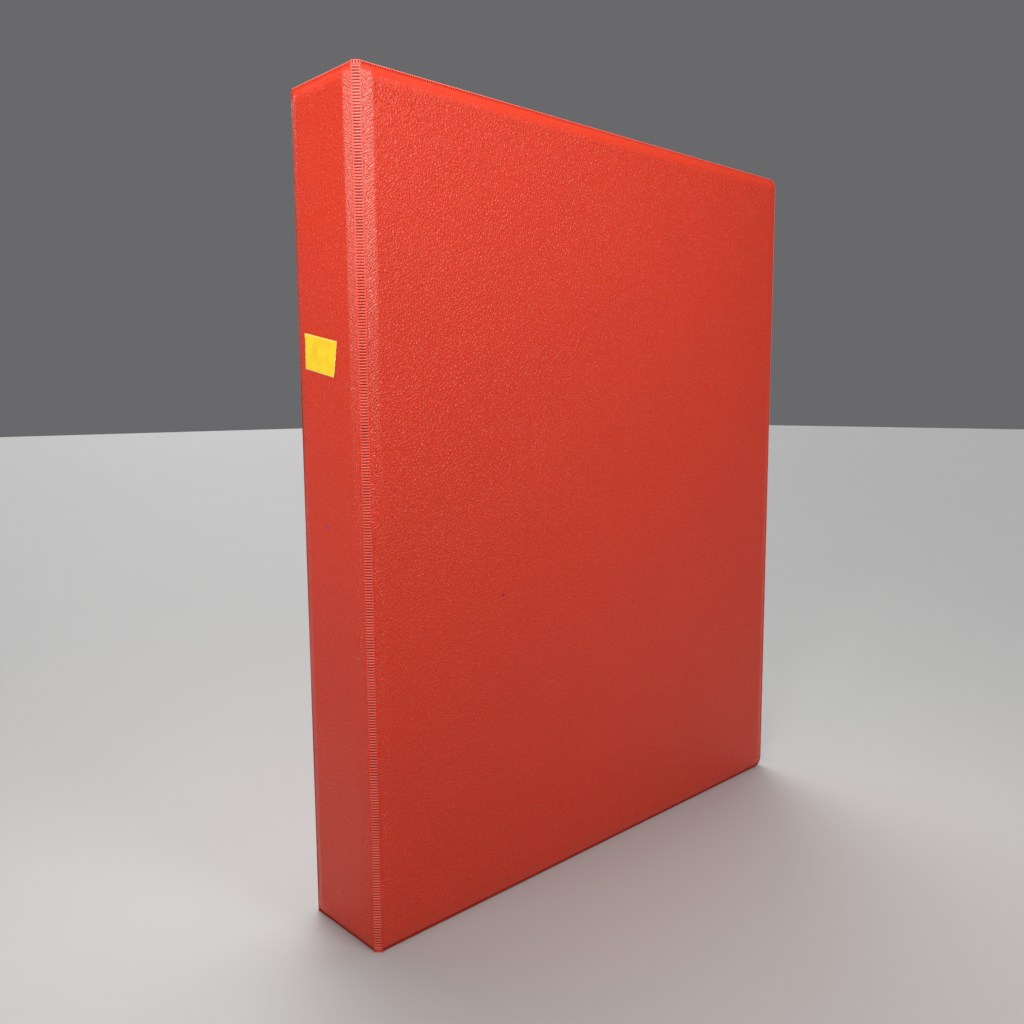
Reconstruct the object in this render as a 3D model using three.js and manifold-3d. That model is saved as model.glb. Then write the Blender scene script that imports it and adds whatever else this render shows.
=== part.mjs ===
// A ring album for stamp leaves, standing closed on its bottom edge. Millimetres, +Z up.
// X runs from the spine to the fore edge, Y from the front cover to the back cover.
// Three boards lie between an outer vinyl skin and an inner liner. Two welded strips join the
// panels as hinges. A four-ring D mechanism is riveted to the back cover and holds the leaves.
import * as THREE from "three";
import { mergeVertices } from "three/addons/utils/BufferGeometryUtils.js";
import Module from "manifold-3d";

// Case
const HEIGHT = 315;
const DEPTH = 260; // spine face to fore edge
const THICKNESS = 45; // front face to back face
const SKIN = 0.6;
const BOARD = 1.9;
const LINER = 0.5;
const GAP = 0.3; // between layers that are welded or glued
const PANEL = SKIN + GAP + BOARD + GAP + LINER;
const FLANGE = 1; // welded rim round the free edges
const BEVEL = 2; // pillowed slope from the rim up to the face
const RIM_DEPTH = 1.2; // outer face of the panel to the rim
const RIM_LAYER = 0.45; // each of the two sheets, pressed thin in the rim
const CORNER_RADIUS = 5;
const CORNER_STEPS = 6;
const BOARD_INSET = 3.6; // free edge of the panel to the board's edge
const BOARD_FROM_HINGE = 3.2; // hinge edge of the panel to the board's edge
const HINGE_SLOPE = 2.4; // the slope's width at the hinge edges
const SHOULDER_DROP = 0.5; // the slope's shoulder below the face, and in from each kind of edge
const SHOULDER_FROM_HINGE = 0.6;
const SHOULDER_FROM_FLANGE = 0.8;
const HOLLOW_INSET = 0.5; // the sheet's width along the slope at the hinge edges
const HOLLOW_FROM_HINGE = 0.8; // where the hollow meets the rim
const HOLLOW_FROM_FLANGE = 0.4;
const HAIR = 0.001;

// Hinges
const STRIP_WIDTH = 4.7;
const STRIP_THICKNESS = 0.7;
const STRIP_INSET = 2.15; // middle of the strip to each of the two outer planes
const PANEL_START = 4.6; // where a panel begins, from the neighbouring panel's outer plane

// Price label on the spine
const LABEL_WIDTH = 21.9;
const LABEL_HEIGHT = 12.8;
const LABEL_THICKNESS = 0.2;
const LABEL_TILT = THREE.MathUtils.degToRad(11);
const LABEL_SKEW = 2.6; // how far the far lower corner is drawn in
const LABEL_Z = 219.5;
const LABEL_FROM_FRONT = 27.6;

// Ring mechanism, measured from the back cover's inner face
const RINGS = 4;
const RING_PITCH = 80;
const RING_RADIUS = 13;
const RING_CENTRE_HEIGHT = 20;
const RING_FROM_SPINE = 24; // ring centre line to the spine's outer plane
const WIRE_RADIUS = 1.5;
const RING_SPLIT = THREE.MathUtils.degToRad(55);
const HOUSING_LENGTH = 276;
const HOUSING_HALF_WIDTH = 17;
const HOUSING_WALL_HEIGHT = 3.2;
const HOUSING_CROWN = 6.4;
const SHEET = 0.7; // housing sheet
const LIP_WIDTH = 1.8;
const EAVE_SHEET = 0.2; // how much lower the arch starts inside the sheet
const ARCH_STEPS = 14;
const LEG_HOLE_HALF_WIDTH = 2.3;
const LEG_HOLE_HALF_HEIGHT = 2.1;
const LEG_HOLE_BOTTOM = 2.7;
const RIVET_HOLE_BOTTOM = 4;
const MOUTH_HALF_WIDTH = 8; // the lever's mouth in each end of the housing
const MOUTH_BOTTOM = 1.2;
const MOUTH_DEPTH = 3;
const CUT_PAST = 1; // how far a cut runs past the sheet that it goes through
const BLADE_THICKNESS = 1.2;
const BLADE_BOTTOM = 1.4;
const BLADE_EDGE = 15.7;
const BLADE_LENGTH = 266;
const BLADE_PARTING = 0.2; // each blade to the centre line
const BLADE_NOTCH = 3.4; // radius of the notch round a rivet
const SEAT = 0.05; // gap where small steel pieces are fixed together
const PIN_RADIUS = 0.7;
const PIN_HEIGHT = 2.1;
const PIN_FROM_END = 3;
const PIN_HOLE_GAP = 0.2;
const PIN_BORE_GAP = 0.25;
const PIN_SIDES = 12;
const LEVER_BARREL = 1.5;
const LEVER_BARREL_WIDTH = 9;
const LEVER_TAB_WIDTH = 14;
const LEVER_TAB_LENGTH = 9.5;
const LEVER_TAB_THICKNESS = 1.1;
const LEVER_ANGLE = THREE.MathUtils.degToRad(57);
const LEVER_TAB_CORNER = 3;
const TONGUE_REACH = 3;
const TONGUE_HALF_WIDTH = 3;
const TONGUE_TOP = 0.85; // below the pin
const RIVET_SPACING = 160;
const RIVET_SHANK = 2;
const RIVET_HOLE = 2.4;
const RIVET_HEAD_RADIUS = 4.5;
const RIVET_HEAD_HEIGHT = 1.2;
const RIVET_DOME_STEPS = 5;
const COLLAR_RADIUS = 3.6;
const COLLAR_TOP_RADIUS = 3.3;
const COLLAR_HEIGHT = 0.8;
const WELL_RADIUS = 1.5; // the rivet's hollow end
const WELL_FLOOR_RADIUS = 1.2;
const WELL_DEPTH = 1.5;
const ROUND_SIDES = 16;

// Stock leaves
const LEAVES = 8;
const LEAF_WIDTH = 224;
const LEAF_HEIGHT = 295;
const LEAF_THICKNESS = 0.6;
const LEAF_PITCH = 1;
const LEAF_FIRST_DROP = 0.6; // top leaf's middle below the ring centre
const LEAF_MARGIN_START = 3; // binding edge, from the ring centre line
const SLOT_FROM = 7.3;
const SLOT_TO = 17.9;
const SLOT_HEIGHT = 6.5;
const LEAF_HANG = 1.5; // the leaves hang on the wires by this much

// The label and the rivet heads stand proud, so the case sits this far off the middle.
const LABEL_PROUD = GAP + LABEL_THICKNESS;
const SPINE_X = (LABEL_PROUD - DEPTH) / 2;
const FRONT_Y = -(THICKNESS + RIVET_HEAD_HEIGHT) / 2;
const BACK_Y = FRONT_Y + THICKNESS;

const VINYL = { color: 0xd8402c, roughness: 0.45, metalness: 0 };
const GREYBOARD = { color: 0x9a8d79, roughness: 0.9, metalness: 0 };
const NICKEL = { color: 0xc8ccd2, roughness: 0.22, metalness: 1 };
const CARD = { color: 0x17171a, roughness: 0.6, metalness: 0 };
const PAPER = { color: 0xffd832, roughness: 0.6, metalness: 0 };

const wasm = await Module();
wasm.setup();

function toSolid(geometry) {
  const bare = geometry.clone();
  bare.deleteAttribute("normal");
  bare.deleteAttribute("uv");
  const merged = mergeVertices(bare, 1e-4);
  return new wasm.Manifold(
    new wasm.Mesh({
      numProp: 3,
      vertProperties: new Float32Array(merged.attributes.position.array),
      triVerts: new Uint32Array(merged.index.array),
    }),
  );
}

function toGeometry(solid) {
  const mesh = solid.getMesh();
  return new THREE.BufferGeometry()
    .setAttribute("position", new THREE.BufferAttribute(mesh.vertProperties, 3))
    .setIndex(new THREE.BufferAttribute(mesh.triVerts, 1));
}

function cut(geometry, tools) {
  const start = toSolid(geometry);
  return toGeometry(tools.reduce((solid, tool) => solid.subtract(toSolid(tool)), start));
}

function join(first, others) {
  return toGeometry(others.reduce((solid, other) => solid.add(toSolid(other)), toSolid(first)));
}

function piece(name, geometry, look) {
  const flat = geometry.index ? geometry.toNonIndexed() : geometry;
  flat.computeVertexNormals();
  const mesh = new THREE.Mesh(flat, new THREE.MeshStandardMaterial(look));
  mesh.name = name;
  return mesh;
}

function box(x0, x1, y0, y1, z0, z1) {
  return new THREE.BoxGeometry(x1 - x0, y1 - y0, z1 - z0).translate(
    (x0 + x1) / 2,
    (y0 + y1) / 2,
    (z0 + z1) / 2,
  );
}

// A cylinder along Y, from y0 to y1.
function drill(x, z, radius, y0, y1) {
  return new THREE.CylinderGeometry(radius, radius, y1 - y0, ROUND_SIDES).translate(
    x,
    (y0 + y1) / 2,
    z,
  );
}

// A closed body through loops of points that all have the same count and are convex.
function loft(loops) {
  const count = loops[0].length;
  const positions = loops.flat().flatMap((p) => [p.x, p.y, p.z]);
  const index = [];
  for (let level = 0; level + 1 < loops.length; level++)
    for (let i = 0; i < count; i++) {
      const a = level * count + i;
      const b = level * count + ((i + 1) % count);
      index.push(a, b, a + count, b, b + count, a + count);
    }
  const last = (loops.length - 1) * count;
  for (let i = 1; i + 1 < count; i++) {
    index.push(0, i + 1, i);
    index.push(last, last + i, last + i + 1);
  }
  const geometry = new THREE.BufferGeometry();
  geometry.setAttribute("position", new THREE.Float32BufferAttribute(positions, 3));
  geometry.setIndex(index);
  return geometry;
}

// The outline of a panel at one depth. inset holds how far each side is drawn in.
function outline(panel, depth, inset) {
  const x0 = panel.x0 + inset.low;
  const x1 = panel.x1 - inset.high;
  const z0 = inset.ends;
  const z1 = HEIGHT - inset.ends;
  const shape = new THREE.Shape();
  shape.moveTo(x0, z0);
  shape.lineTo(x0, z1);
  if (panel.radius) {
    const r = Math.max(panel.radius - inset.ends, FLANGE);
    shape.absarc(x1 - r, z1 - r, r, Math.PI / 2, 0, true);
    shape.absarc(x1 - r, z0 + r, r, 0, -Math.PI / 2, true);
  } else {
    shape.lineTo(x1, z1);
    shape.lineTo(x1, z0);
  }
  return shape.getPoints(CORNER_STEPS).map((p) => new THREE.Vector3(p.x, depth, p.y));
}

// A panel lies in X and Z with its outer face at Y = 0 and its layers below it, towards +Y.
// At the free edges the skin slopes down and the liner slopes up to a welded rim at mid depth.
// At the hinge edges both simply stop.
function sheetGeometry(panel, face, inside, rimFace, rimInside) {
  const at = (depth, hinge, free) =>
    outline(panel, depth, {
      low: hinge,
      high: panel.radius ? free : hinge,
      ends: free,
    });
  const towards = Math.sign(rimFace - face);
  const slope = [
    at(face, HINGE_SLOPE, FLANGE + BEVEL),
    at(face + towards * SHOULDER_DROP, SHOULDER_FROM_HINGE, FLANGE + SHOULDER_FROM_FLANGE),
    at(rimFace, 0, FLANGE),
    at(rimFace + towards * HAIR, 0, 0),
    at(rimInside, 0, 0),
  ];
  const hollow = [
    at(inside, HINGE_SLOPE + HOLLOW_INSET, FLANGE + BEVEL + GAP),
    at(rimInside + towards, HOLLOW_FROM_HINGE, FLANGE + HOLLOW_FROM_FLANGE),
  ];
  const shell = (loops) => loft(towards > 0 ? loops : loops.reverse());
  return cut(shell(slope), [shell(hollow)]);
}

function skinGeometry(panel) {
  return sheetGeometry(panel, 0, SKIN, RIM_DEPTH, RIM_DEPTH + RIM_LAYER);
}

function linerGeometry(panel) {
  const rimFace = RIM_DEPTH + 2 * RIM_LAYER + GAP;
  return sheetGeometry(panel, PANEL, PANEL - LINER, rimFace, rimFace - RIM_LAYER);
}

function boardGeometry(panel) {
  const inset = {
    low: BOARD_FROM_HINGE,
    high: panel.radius ? BOARD_INSET : BOARD_FROM_HINGE,
    ends: BOARD_INSET,
  };
  return loft([
    outline(panel, SKIN + GAP, inset),
    outline(panel, SKIN + GAP + BOARD, inset),
  ]);
}

const COVER = { x0: PANEL_START, x1: DEPTH, radius: CORNER_RADIUS };
const SPINE = { x0: PANEL_START, x1: THICKNESS - PANEL_START, radius: 0 };

function addPanel(group, prefix, panel, holes = []) {
  const shaped = (geometry) => (holes.length ? cut(geometry, holes) : geometry);
  group.add(piece(prefix + "_outer_skin", shaped(skinGeometry(panel)), VINYL));
  group.add(piece(prefix + "_board", shaped(boardGeometry(panel)), GREYBOARD));
  group.add(piece(prefix + "_inner_liner", shaped(linerGeometry(panel)), VINYL));
}

// A flat welded strip across the corner between the spine and a cover.
function hingeStrip(name, y, turn) {
  const strip = piece(
    name,
    new THREE.BoxGeometry(STRIP_WIDTH, STRIP_THICKNESS, HEIGHT),
    VINYL,
  );
  strip.position.set(SPINE_X + STRIP_INSET, y, HEIGHT / 2);
  strip.rotation.z = turn;
  return strip;
}

function labelGeometry() {
  const shape = new THREE.Shape();
  shape.moveTo(-LABEL_WIDTH / 2 + LABEL_SKEW, -LABEL_HEIGHT / 2);
  shape.lineTo(LABEL_WIDTH / 2, -LABEL_HEIGHT / 2);
  shape.lineTo(LABEL_WIDTH / 2, LABEL_HEIGHT / 2);
  shape.lineTo(-LABEL_WIDTH / 2, LABEL_HEIGHT / 2);
  const flat = { depth: LABEL_THICKNESS, bevelEnabled: false };
  return new THREE.ExtrudeGeometry(shape, flat).rotateX(Math.PI / 2);
}

// The height of each ring above the bottom edge.
function ringHeights() {
  const heights = [];
  for (let i = 0; i < RINGS; i++)
    heights.push(HEIGHT / 2 + (i - (RINGS - 1) / 2) * RING_PITCH);
  return heights;
}

const RIVET_HEIGHTS = [(HEIGHT - RIVET_SPACING) / 2, (HEIGHT + RIVET_SPACING) / 2];
const PIN_HEIGHTS = [
  (HEIGHT - HOUSING_LENGTH) / 2 + PIN_FROM_END,
  (HEIGHT + HOUSING_LENGTH) / 2 - PIN_FROM_END,
];

// An arc through (-halfChord, foot) and (halfChord, foot) with the given crown.
function archPoints(halfChord, foot, crown) {
  const rise = crown - foot;
  const radius = (halfChord * halfChord + rise * rise) / (2 * rise);
  const half = Math.asin(halfChord / radius);
  const points = [];
  for (let i = 0; i <= ARCH_STEPS; i++) {
    const angle = -half + (2 * half * i) / ARCH_STEPS;
    const x = radius * Math.sin(angle);
    points.push(new THREE.Vector2(x, crown - radius * (1 - Math.cos(angle))));
  }
  return points;
}

// Arched sheet with turned-in lips, open below, with holes for the ring legs and the rivets,
// and a notch in each end where the lever stands.
function housingGeometry() {
  const inner = HOUSING_HALF_WIDTH - SHEET;
  const lip = HOUSING_HALF_WIDTH - LIP_WIDTH;
  const outside = archPoints(HOUSING_HALF_WIDTH, HOUSING_WALL_HEIGHT, HOUSING_CROWN);
  const inside = archPoints(inner, HOUSING_WALL_HEIGHT - EAVE_SHEET, HOUSING_CROWN - SHEET);
  const lipTop = GAP + SHEET;
  const points = [
    new THREE.Vector2(-lip, GAP),
    new THREE.Vector2(-HOUSING_HALF_WIDTH, GAP),
    ...outside,
    new THREE.Vector2(HOUSING_HALF_WIDTH, GAP),
    new THREE.Vector2(lip, GAP),
    new THREE.Vector2(lip, lipTop),
    new THREE.Vector2(inner, lipTop),
    ...inside.reverse(),
    new THREE.Vector2(-inner, lipTop),
    new THREE.Vector2(-lip, lipTop),
  ];
  const length = { depth: HOUSING_LENGTH, bevelEnabled: false };
  const sheet = new THREE.ExtrudeGeometry(new THREE.Shape(points), length);
  sheet.translate(0, 0, (HEIGHT - HOUSING_LENGTH) / 2);
  const top = HOUSING_CROWN + CUT_PAST;
  const tools = [];
  for (const z of ringHeights())
    for (const side of [-1, 1]) {
      const x0 = side * RING_RADIUS - LEG_HOLE_HALF_WIDTH;
      const x1 = side * RING_RADIUS + LEG_HOLE_HALF_WIDTH;
      const z0 = z - LEG_HOLE_HALF_HEIGHT;
      const z1 = z + LEG_HOLE_HALF_HEIGHT;
      tools.push(box(x0, x1, LEG_HOLE_BOTTOM, top, z0, z1));
    }
  for (const z of RIVET_HEIGHTS)
    tools.push(drill(0, z, RIVET_HOLE, RIVET_HOLE_BOTTOM, top));
  for (const z of PIN_HEIGHTS) {
    const side = Math.sign(z - HEIGHT / 2);
    const mouth = z + side * (PIN_FROM_END + CUT_PAST);
    const throat = z - side * MOUTH_DEPTH;
    const z0 = Math.min(mouth, throat);
    const z1 = Math.max(mouth, throat);
    tools.push(box(-MOUTH_HALF_WIDTH, MOUTH_HALF_WIDTH, MOUTH_BOTTOM, top, z0, z1));
    tools.push(acrossX(PIN_RADIUS + PIN_HOLE_GAP, 2 * (HOUSING_HALF_WIDTH + CUT_PAST), z));
  }
  return cut(sheet, tools);
}

// A cylinder along X at the pin's height.
function acrossX(radius, length, z) {
  return new THREE.CylinderGeometry(radius, radius, length, PIN_SIDES)
    .rotateZ(Math.PI / 2)
    .translate(0, PIN_HEIGHT, z);
}

// A flat bar from near the centre line to the housing's lip, notched for the rivets.
function bladeGeometry(side) {
  const bar = box(
    side > 0 ? BLADE_PARTING : -BLADE_EDGE,
    side > 0 ? BLADE_EDGE : -BLADE_PARTING,
    BLADE_BOTTOM,
    BLADE_BOTTOM + BLADE_THICKNESS,
    (HEIGHT - BLADE_LENGTH) / 2,
    (HEIGHT + BLADE_LENGTH) / 2,
  );
  const top = BLADE_BOTTOM + BLADE_THICKNESS + CUT_PAST;
  return cut(bar, RIVET_HEIGHTS.map((z) => drill(0, z, BLADE_NOTCH, 0, top)));
}

// The centre line of half a ring: a straight leg, then an arc about the ring centre.
class RingHalf extends THREE.Curve {
  constructor(side, endAngle) {
    super();
    this.side = side;
    this.foot = BLADE_BOTTOM + BLADE_THICKNESS + SEAT;
    this.leg = RING_CENTRE_HEIGHT - this.foot;
    this.sweep = side > 0 ? endAngle : Math.PI - endAngle;
    this.arc = this.sweep * RING_RADIUS;
  }

  getPoint(t, target = new THREE.Vector3()) {
    const along = t * (this.leg + this.arc);
    if (along < this.leg)
      return target.set(this.side * RING_RADIUS, this.foot + along, 0);
    const angle = (along - this.leg) / RING_RADIUS;
    return target.set(
      this.side * RING_RADIUS * Math.cos(angle),
      RING_CENTRE_HEIGHT + RING_RADIUS * Math.sin(angle),
      0,
    );
  }
}

function ringGeometry(side) {
  const parting = GAP / 2 / RING_RADIUS;
  const curve = new RingHalf(side, RING_SPLIT - side * parting);
  const wire = new THREE.Shape().absarc(0, 0, WIRE_RADIUS, 0, Math.PI * 2);
  const steps = side > 0 ? 14 : 22;
  return new THREE.ExtrudeGeometry(wire, { extrudePath: curve, steps, curveSegments: 5 });
}

// A rolled barrel on the pin, a tongue that reaches under the blades and a tab for the finger.
// The lever is drawn at the top end, with its pin at the origin.
function leverGeometry() {
  const half = LEVER_BARREL_WIDTH / 2;
  const barrel = new THREE.CylinderGeometry(
    LEVER_BARREL,
    LEVER_BARREL,
    LEVER_BARREL_WIDTH,
    ROUND_SIDES,
  ).rotateZ(Math.PI / 2);
  const tongue = box(
    -TONGUE_HALF_WIDTH,
    TONGUE_HALF_WIDTH,
    -LEVER_BARREL,
    -TONGUE_TOP,
    -TONGUE_REACH,
    0,
  );
  const corner = LEVER_TAB_CORNER;
  const width = LEVER_TAB_WIDTH / 2;
  const tab = new THREE.Shape();
  tab.moveTo(-half, 0);
  tab.lineTo(half, 0);
  tab.lineTo(width, corner);
  tab.absarc(width - corner, LEVER_TAB_LENGTH - corner, corner, 0, Math.PI / 2);
  tab.absarc(corner - width, LEVER_TAB_LENGTH - corner, corner, Math.PI / 2, Math.PI);
  tab.lineTo(-width, corner);
  const plate = new THREE.ExtrudeGeometry(tab, {
    depth: LEVER_TAB_THICKNESS,
    bevelEnabled: false,
    curveSegments: 5,
  });
  plate.translate(0, 0, -LEVER_BARREL);
  plate.rotateX(Math.PI / 2 - LEVER_ANGLE);
  const bore = new THREE.CylinderGeometry(
    PIN_RADIUS + PIN_BORE_GAP,
    PIN_RADIUS + PIN_BORE_GAP,
    LEVER_TAB_WIDTH + 2 * CUT_PAST,
    PIN_SIDES,
  ).rotateZ(Math.PI / 2);
  return cut(join(barrel, [tongue, plate]), [bore]);
}

// A tubular rivet through the back cover and the housing, head outside.
function rivetGeometry() {
  const outer = -PANEL - SEAT;
  const crown = HOUSING_CROWN + SEAT;
  const profile = [];
  for (let i = 0; i <= RIVET_DOME_STEPS; i++) {
    const angle = (Math.PI / 2) * (i / RIVET_DOME_STEPS);
    const height = (RIVET_HEAD_HEIGHT - SEAT) * Math.cos(angle);
    profile.push(new THREE.Vector2(RIVET_HEAD_RADIUS * Math.sin(angle), outer - height));
  }
  profile.push(
    new THREE.Vector2(RIVET_SHANK, outer),
    new THREE.Vector2(RIVET_SHANK, crown),
    new THREE.Vector2(COLLAR_RADIUS, crown),
    new THREE.Vector2(COLLAR_TOP_RADIUS, crown + COLLAR_HEIGHT),
    new THREE.Vector2(WELL_RADIUS, crown + COLLAR_HEIGHT),
    new THREE.Vector2(WELL_FLOOR_RADIUS, crown - WELL_DEPTH),
    new THREE.Vector2(0, crown - WELL_DEPTH),
  );
  return new THREE.LatheGeometry(profile, ROUND_SIDES);
}

// A card with four slots, its plane across Y, drawn about the ring centre line.
function leafGeometry() {
  const bottom = (HEIGHT - LEAF_HEIGHT) / 2;
  const shape = new THREE.Shape();
  const end = LEAF_MARGIN_START + LEAF_WIDTH;
  shape.moveTo(LEAF_MARGIN_START, bottom);
  shape.lineTo(end, bottom);
  shape.lineTo(end, bottom + LEAF_HEIGHT);
  shape.lineTo(LEAF_MARGIN_START, bottom + LEAF_HEIGHT);
  const r = SLOT_HEIGHT / 2;
  for (const z of ringHeights()) {
    const slot = new THREE.Path();
    slot.absarc(SLOT_TO - r, z, r, -Math.PI / 2, Math.PI / 2);
    slot.absarc(SLOT_FROM + r, z, r, Math.PI / 2, (3 * Math.PI) / 2);
    shape.holes.push(slot);
  }
  return new THREE.ExtrudeGeometry(shape, {
    depth: LEAF_THICKNESS,
    bevelEnabled: false,
    curveSegments: 8,
  })
    .translate(0, 0, -LEAF_THICKNESS / 2)
    .rotateX(Math.PI / 2);
}

const album = new THREE.Group();

const spine = new THREE.Group();
spine.position.set(SPINE_X, BACK_Y, 0);
spine.rotation.z = -Math.PI / 2;
addPanel(spine, "spine", SPINE);
album.add(spine);

const label = piece("price_label", labelGeometry(), PAPER);
label.position.set(THICKNESS - LABEL_FROM_FRONT, -GAP, LABEL_Z);
label.rotation.y = LABEL_TILT;
spine.add(label);

album.add(hingeStrip("front_hinge_strip", FRONT_Y + STRIP_INSET, -Math.PI / 4));
album.add(hingeStrip("back_hinge_strip", BACK_Y - STRIP_INSET, Math.PI / 4));

const front = new THREE.Group();
front.position.set(SPINE_X, FRONT_Y, 0);
addPanel(front, "front", COVER);
album.add(front);

const back = new THREE.Group();
back.position.set(SPINE_X, BACK_Y, 0);
back.scale.y = -1;
const rivetHoles = RIVET_HEIGHTS.map((z) =>
  drill(RING_FROM_SPINE, z, RIVET_HOLE, -CUT_PAST, PANEL + CUT_PAST),
);
addPanel(back, "back", COVER, rivetHoles);
album.add(back);

// From here Y is the height above the back cover's inner face.
const mechanism = new THREE.Group();
mechanism.position.set(RING_FROM_SPINE, PANEL, 0);
back.add(mechanism);
mechanism.add(piece("ring_housing", housingGeometry(), NICKEL));
mechanism.add(piece("blade_spine_side", bladeGeometry(-1), NICKEL));
mechanism.add(piece("blade_fore_side", bladeGeometry(1), NICKEL));

ringHeights().forEach((z, i) => {
  for (const [side, word] of [[-1, "arc"], [1, "post"]]) {
    const half = piece(`ring_${word}_${i + 1}`, ringGeometry(side), NICKEL);
    half.position.z = z;
    mechanism.add(half);
  }
});

PIN_HEIGHTS.forEach((z, i) => {
  const end = ["bottom", "top"][i];
  const pin = new THREE.CylinderGeometry(
    PIN_RADIUS,
    PIN_RADIUS,
    HOUSING_HALF_WIDTH * 2,
    PIN_SIDES,
  ).rotateZ(Math.PI / 2);
  const pinPiece = piece("lever_pin_" + end, pin, NICKEL);
  pinPiece.position.set(0, PIN_HEIGHT, z);
  mechanism.add(pinPiece);
  const lever = piece("lever_" + end, leverGeometry(), NICKEL);
  lever.position.set(0, PIN_HEIGHT, z);
  lever.scale.z = i ? 1 : -1;
  mechanism.add(lever);
});

RIVET_HEIGHTS.forEach((z, i) => {
  const rivet = piece(`rivet_${i + 1}`, rivetGeometry(), NICKEL);
  rivet.position.z = z;
  mechanism.add(rivet);
});

for (let i = 0; i < LEAVES; i++) {
  const leaf = piece(`leaf_${i + 1}`, leafGeometry(), CARD);
  const drop = LEAF_FIRST_DROP + i * LEAF_PITCH;
  leaf.position.set(0, RING_CENTRE_HEIGHT - drop, -LEAF_HANG);
  mechanism.add(leaf);
}

export default album;
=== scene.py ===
import math

import bmesh
import bpy
import numpy as np
from mathutils import Matrix, Vector


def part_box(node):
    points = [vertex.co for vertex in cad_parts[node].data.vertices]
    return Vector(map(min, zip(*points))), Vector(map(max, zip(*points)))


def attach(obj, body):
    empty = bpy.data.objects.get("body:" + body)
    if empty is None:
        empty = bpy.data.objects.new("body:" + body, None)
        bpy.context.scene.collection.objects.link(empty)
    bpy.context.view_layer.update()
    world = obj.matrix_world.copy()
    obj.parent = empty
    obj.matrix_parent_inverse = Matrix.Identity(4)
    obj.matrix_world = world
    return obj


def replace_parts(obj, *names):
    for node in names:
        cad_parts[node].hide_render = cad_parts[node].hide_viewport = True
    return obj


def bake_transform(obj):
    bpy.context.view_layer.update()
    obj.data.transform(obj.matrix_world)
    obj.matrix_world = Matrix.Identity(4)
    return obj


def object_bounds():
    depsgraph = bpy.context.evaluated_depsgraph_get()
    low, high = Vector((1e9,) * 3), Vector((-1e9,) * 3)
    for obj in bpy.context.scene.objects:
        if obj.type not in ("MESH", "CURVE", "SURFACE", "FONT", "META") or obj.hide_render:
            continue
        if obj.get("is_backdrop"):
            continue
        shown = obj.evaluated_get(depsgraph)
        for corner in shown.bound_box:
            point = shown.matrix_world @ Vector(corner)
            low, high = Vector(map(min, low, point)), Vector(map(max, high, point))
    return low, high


# A red ring album for stamp leaves, standing closed on its bottom edge. Sizes are in metres,
# most of them written as millimetres times MM, and places come from the frame.
MM = 0.001

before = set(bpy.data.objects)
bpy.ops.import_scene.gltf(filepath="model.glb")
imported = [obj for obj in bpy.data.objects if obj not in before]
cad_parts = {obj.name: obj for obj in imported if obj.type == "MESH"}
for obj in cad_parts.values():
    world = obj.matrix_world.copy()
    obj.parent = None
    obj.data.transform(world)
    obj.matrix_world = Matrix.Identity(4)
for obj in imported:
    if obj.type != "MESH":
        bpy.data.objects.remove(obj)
cad_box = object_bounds()

front_low, front_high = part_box("front_outer_skin")
SPINE_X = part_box("spine_outer_skin")[0].x
FRONT_Y = front_low.y
BACK_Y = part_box("back_outer_skin")[1].y
FORE_X = front_high.x
HEIGHT = front_high.z
THICKNESS = BACK_Y - FRONT_Y
DEPTH = FORE_X - SPINE_X
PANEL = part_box("front_inner_liner")[1].y - FRONT_Y
BACK_INNER_Y = BACK_Y - PANEL

# Welded vinyl. Depths are measured from the outer face of a panel.
SHEET = 0.5 * MM
CORNER_RADIUS = 5 * MM
RIM_WIDTH = 1.2 * MM
RIM_FACE = 1.3 * MM
RIM_BACK = 2.2 * MM
SLOPE = 5.2 * MM
INNER_SLOPE = 3.4 * MM
RIB_PITCH = 1.0 * MM
RIB_DEPTH = 0.42 * MM
RIB_SAMPLES = 8

# A hinge weld crosses the corner on the line where the depths from both outer faces add up to
# its own sum. The back one is pressed in deeper.
FRONT_SUM = 3.75 * MM
BACK_SUM = 4.4 * MM
STRIP_HALF = 1.8 * MM
RIB_HALF = 1.5 * MM
SHOULDER = 4.5 * MM
LINER_START = 3.9 * MM
LINER_SHOULDER = 1.1 * MM


# ---------------------------------------------------------------- mesh helpers


def grid_faces(rows, columns, wrap=False, start=0):
    """Quads of a grid of points stored row by row. wrap joins the last column to the first."""
    across = np.arange(columns if wrap else columns - 1)
    row = np.arange(rows - 1)[:, None] * columns
    a = row + across
    b = row + (across + 1) % columns
    return (np.stack([a, b, b + columns, a + columns], -1).reshape(-1, 4) + start).tolist()


def add_mesh(name, points, faces, material, smooth=True):
    mesh = bpy.data.meshes.new(name)
    mesh.from_pydata(np.reshape(points, (-1, 3)).tolist(), [], faces)
    mesh.materials.append(material)
    mesh.polygons.foreach_set("use_smooth", [smooth] * len(mesh.polygons))
    mesh.update()
    piece = bpy.data.objects.new(name, mesh)
    bpy.context.scene.collection.objects.link(piece)
    return piece


def face_outwards(piece):
    work = bmesh.new()
    work.from_mesh(piece.data)
    bmesh.ops.recalc_face_normals(work, faces=work.faces)
    work.to_mesh(piece.data)
    work.free()
    return piece


def shell(name, outer, inner, material):
    """A closed sheet between two grids of points with the same rows and columns."""
    rows, columns = outer.shape[:2]
    count = rows * columns
    faces = grid_faces(rows, columns) + [f[::-1] for f in grid_faces(rows, columns, start=count)]
    index = np.arange(count).reshape(rows, columns)
    edge = np.concatenate([index[0, :-1], index[:-1, -1], index[-1, :0:-1], index[:0:-1, 0]])
    following = np.roll(edge, -1)
    faces += np.stack([following, edge, edge + count, following + count], -1).tolist()
    points = np.concatenate([outer.reshape(-1, 3), inner.reshape(-1, 3)])
    return face_outwards(add_mesh(name, points, faces, material))


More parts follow.
